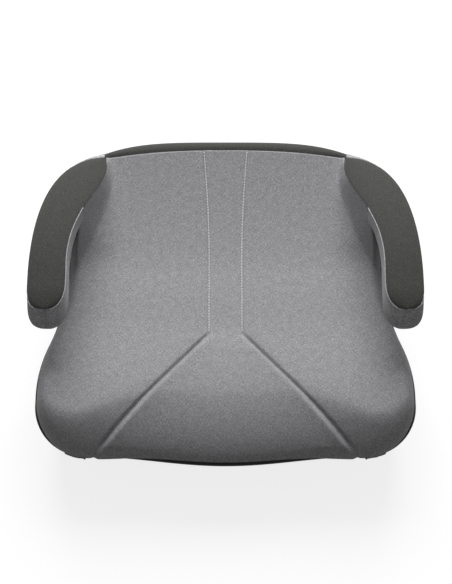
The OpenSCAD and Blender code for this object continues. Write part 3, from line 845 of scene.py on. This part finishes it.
ELASTIC = twisted("hem_elastic_black", (0.006, 0.006, 0.006), (0.016, 0.016, 0.016), 1.2, 0.8)
THREAD = twisted("pale_thread", (0.55, 0.55, 0.55), (0.82, 0.82, 0.82), 0.5, 0.7)
THREAD_SOFT = twisted("grey_thread", (0.3, 0.3, 0.31), (0.45, 0.45, 0.46), 0.5, 0.8)


def dress(obj, material):
    obj.data.materials.clear()
    obj.data.materials.append(material)
    return obj


def piece(obj, material, *nodes, slot=None, fill=None):
    """Gives a piece its material and its body, and hides the CAD nodes that it stands for."""
    dress(obj, material)
    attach(obj, "root")
    if nodes:
        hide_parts(*nodes)
    return obj


# ------------------------------------------------------------------ camera, floor and light

scene = bpy.context.scene
TARGET = Vector((0, 12.6, 100)) * MM
TILT = math.radians(20)
CAMERA_AT = TARGET + 1.5 * Vector((0, -math.sin(TILT), math.cos(TILT)))
camera = bpy.data.objects.new("camera", bpy.data.cameras.new("camera"))
scene.collection.objects.link(camera)
camera.location = CAMERA_AT
camera.rotation_euler = (TARGET - CAMERA_AT).to_track_quat("-Z", "Y").to_euler()
camera.data.lens = 78.98
camera.data.sensor_width = 36
camera.data.shift_x = 0.0009
scene.camera = camera
scene.view_settings.view_transform = "Standard"


def area_light(name, place, aim, size, watts):
    light = bpy.data.lights.new(name, "AREA")
    light.size = size
    light.energy = watts
    obj = bpy.data.objects.new(name, light)
    obj.location = place
    obj.rotation_euler = (Vector(aim) - Vector(place)).to_track_quat("-Z", "Y").to_euler()
    scene.collection.objects.link(obj)


def studio():
    """A pale floor under a soft light from above and behind, with an even fill all round."""
    area_light("key", (0.0, 1.35, 1.3), (0, 0, 0.1), 1.4, 52)
    world = bpy.data.worlds.new("studio")
    world.use_nodes = True
    tree = world.node_tree
    place = add(tree, "ShaderNodeTexCoord").outputs["Generated"]
    height = add(tree, "ShaderNodeSeparateXYZ", {0: place}).outputs["Z"]
    sky = colours(tree, height, [(0.0, (0.03, 0.03, 0.03)), (0.3, (0.25, 0.25, 0.25))])
    seen = add(tree, "ShaderNodeLightPath").outputs["Is Camera Ray"]
    backdrop = add(tree, "ShaderNodeMixRGB", {"Fac": seen, "Color1": sky, "Color2": (0.9, 0.9, 0.9, 1)})
    tree.links.new(backdrop.outputs[0], tree.nodes["Background"].inputs["Color"])
    scene.world = world
    half = 6.0
    mesh = bpy.data.meshes.new("floor")
    corners = [(-half, -half, 0), (half, -half, 0), (half, half, 0), (-half, half, 0)]
    mesh.from_pydata(corners, [], [(0, 1, 2, 3)])
    floor = bpy.data.objects.new("floor", mesh)
    scene.collection.objects.link(floor)
    mat, tree, shader = new_material("pale_floor", Roughness=1.0, Emission_Strength=0.8)
    shader.inputs["Emission Color"].default_value = (1, 1, 1, 1)
    place = add(tree, "ShaderNodeTexCoord").outputs["Object"]
    paint(tree, shader, noise(tree, place, 3.0), [(0.3, (0.25, 0.25, 0.25)), (0.7, (0.27, 0.27, 0.27))])
    dress(floor, mat)
    floor.visible_diffuse = False


studio()

# ------------------------------------------------------------------ cover

SIDE = seat_side()
CENTRE = seat_centre()
BOTH_SIDES = (("right", lambda g: g), ("left", mirrored))


def cover_piece(name, g, cloth, material, node, slot, fill=0.7):
    return piece(patch(name, g, FABRIC_T, cloth), material, node, slot=slot, fill=fill)


def seat_cover():
    """The three grey panels and the dark rear one."""
    for tag, turn in BOTH_SIDES:
        g = turn(SIDE)
        seam_column = 0 if tag == "right" else g.shape[1] - 1
        cloth = cloth_coords(g, seam_column)
        cover_piece(f"cover_side_{tag}", g, cloth, GREY, f"seat_side_panel_{tag}", "grey_fabric")
    cover_piece("cover_centre", CENTRE, cloth_coords(CENTRE), GREY, "seat_centre_panel", "grey_fabric", 0.8)
    rear = rear_grid()
    cover_piece("cover_rear", rear, along_coords(rear), DARK, "rear_panel", "dark_fabric")


def armrest_covers():
    """Each armrest's dark top panel and the grey gusset round it."""
    top, gusset = arm_top_grid(), arm_gusset_grid()
    for tag, turn in BOTH_SIDES:
        g = turn(top)
        cover_piece(f"cover_armrest_top_{tag}", g, along_coords(g), DARK,
                    f"armrest_top_panel_{tag}", "dark_fabric")
        g = turn(gusset)
        # The gusset takes the grey painted lighter: painted light on its shaded front walls.
        cover_piece(f"cover_armrest_gusset_{tag}", g, along_coords(g), GREY_PAINTED_LIGHTER,
                    f"armrest_gusset_{tag}", "grey_fabric")


seat_cover()
armrest_covers()

# ------------------------------------------------------------------ foam under the cover


def sunk(g, depth):
    """A grid moved below its surface."""
    return g - grid_normals(g) * depth


def foam_pieces():
    """The seat foam from a coarser copy of the three cover panels' grids, and the armrest foam."""
    coarse = 6
    side = SIDE[::coarse, ::coarse]
    centre = CENTRE[::coarse, coarse:-coarse:coarse]
    whole = np.concatenate([mirrored(SIDE)[::coarse, ::coarse], centre, side], axis=1)
    whole[..., 2] = np.minimum(whole[..., 2], cover_z(whole[..., :2]))
    whole = whole[2:-3, 3:-3]
    piece(patch("foam_seat", sunk(whole, 4.5), 10), FOAM, "seat_foam", slot="foam", fill=0.9)
    for tag, turn in BOTH_SIDES:
        g = turn(arm_foam_grid(4.6))
        piece(patch(f"foam_armrest_{tag}", g, 2.5), FOAM, f"armrest_foam_{tag}", slot="foam", fill=0.9)


foam_pieces()

# ------------------------------------------------------------------ shell and hem


def deck_z(xy, inset):
    """Height of the shell's deck under the foam."""
    x, y = xy[:, 0], xy[:, 1]
    z0 = lip_z(y)
    below_cover = FOAM_T + FABRIC_T + 2
    rise = np.minimum(crown_z(x, y), REAR_SEAM_Z - 2) - below_cover - z0
    return z0 + rise * quarter((inset - DECK_INSET) / (roll_length(x, y) - 5))


def shell_ring(inset, z):
    """The outline moved in, at one height or at a height given by a function of y."""
    p = OUTLINE - inset * OUTWARD
    height = z(p[:, 1]) if callable(z) else np.full(len(p), float(z))
    return np.concatenate([p, height[:, None]], -1)


def deck_ring(inset, shrink, drop):
    """The outline moved in and scaled about the origin, on the deck or at a drop below it."""
    p = (OUTLINE - inset * OUTWARD) * shrink
    away = inset + (1 - shrink) * np.linalg.norm(OUTLINE, axis=1)
    return np.concatenate([p, (deck_z(p, away) - drop)[:, None]], -1)


def build_shell():
    """The moulded bucket: a rounded rolled lip, a parting groove and walls that draw in to the base."""
    # Insets from the outline, with heights over the lip's top and then over the floor
    under_lip = [(3.0, -5.2), (4.2, -6.5), (5.0, -9.0), (6.4, -20.0)]
    parting_groove = [(6.9, -24.0), (7.6, -24.6), (7.6, -26.0), (7.1, -26.6)]
    outer_wall = [(8.5, 45), (11, 30), (14, 18), (16.2, 8)]
    bottom_edge = [(BASE_INSET + 0.6, FOOT_H + 0.6), (BASE_INSET + 1.4, FOOT_H), (BASE_INSET + WALL, FOOT_H)]
    inner_wall = [(14 + WALL, 18), (9.6 + WALL, 45)]
    inner = DECK_INSET + 24
    rings = [deck_ring(inner, f, 0) for f in (0.12, 0.35, 0.6, 0.8, 0.92)]
    rings += [deck_ring(DECK_INSET + d, 1, 0) for d in (24, 16, 9, 4, 1.2)]
    rings += [shell_ring(DECK_INSET, lip_z), shell_ring(LIP_ROUND_R + 1.5, lip_z)]
    for a in np.radians(np.linspace(90, -90, 9)):
        drop = LIP_ROUND_R * (1 - math.sin(a))
        rings.append(shell_ring(LIP_ROUND_R * (1 - math.cos(a)), lambda y, drop=drop: lip_z(y) - drop))
    rings += [shell_ring(d, lambda y, dz=dz: lip_z(y) + dz) for d, dz in under_lip + parting_groove]
    rings += [shell_ring(d, z) for d, z in outer_wall + bottom_edge + inner_wall]
    rings.append(shell_ring(DECK_INSET + WALL, lambda y: lip_z(y) - 3))
    rings += [deck_ring(DECK_INSET + WALL + d, 1, WALL) for d in (4, 9, 16, 24)]
    rings += [deck_ring(inner, f, WALL) for f in (0.92, 0.8, 0.6, 0.35, 0.12)]
    top = deck_z(np.zeros((1, 2)), 150)[0]
    obj = ring_stack("shell", rings, [0, 0, top], [0, 0, top - WALL])
    return piece(obj, SHELL, "seat_shell", slot="shell_plastic")


def build_hem():
    """The elastic cord, just inside the cover's edge."""
    inset = edge_inset(OUTLINE) + 3.4
    hem = np.concatenate([OUTLINE - inset[:, None] * OUTWARD, lip_z(OUTLINE[:, 1:]) + 1.3], axis=1)
    return piece(closed_tube("hem_cord", hem, 1.2, 10), ELASTIC, "hem_elastic", slot="elastic")


build_shell()
build_hem()

# ------------------------------------------------------------------ seams


def thread(name, offset, from_y, to_y, pitch, gap, radius, material):
    """A stitch row beside the centre panel's seam, on the left and on the right."""
    line = SEAM_LINE[(SEAM_LINE[:, 1] <= from_y) & (SEAM_LINE[:, 1] >= to_y)]
    path = resample(seam_offset(line, offset), 400)
    p, n = on_cover(path)
    right, left = both(name, lambda tag: stitch_row(tag, p, n, pitch, gap, radius))
    piece(right, material)
    piece(left, material)


thread("topstitch", -1.0, 172, -43, 3.4, 0.2, 0.66, THREAD)
thread("second_stitch", 5.5, 168, -30, 5.0, 2.2, 0.35, THREAD_SOFT)
thread("front_stitch", -3.2, -50, -166, 4.6, 1.4, 0.42, THREAD_SOFT)

# ------------------------------------------------------------------ CAD nodes that stay in view

CAD_LOOKS = {
    "base_tray": TRAY,
    "armrest_frame_left": SHELL,
    "armrest_frame_right": SHELL,
    "belt_guide_left": GUIDE,
    "belt_guide_right": GUIDE,
    "hem_clips": TRAY,
    "rubber_feet": RUBBER,
    "tray_screws": STEEL,
    "armrest_screws": STEEL,
    "belt_guide_screws": STEEL,
}
SOFTENED = ("belt_guide_left", "belt_guide_right", "rubber_feet", "base_tray")

for name, material in CAD_LOOKS.items():
    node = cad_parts[name]
    dress(node, material)
    if name in SOFTENED:
        soften = node.modifiers.new("soften", "BEVEL")
        soften.width = 0.6 * MM
        soften.segments = 2
        soften.limit_method = "ANGLE"
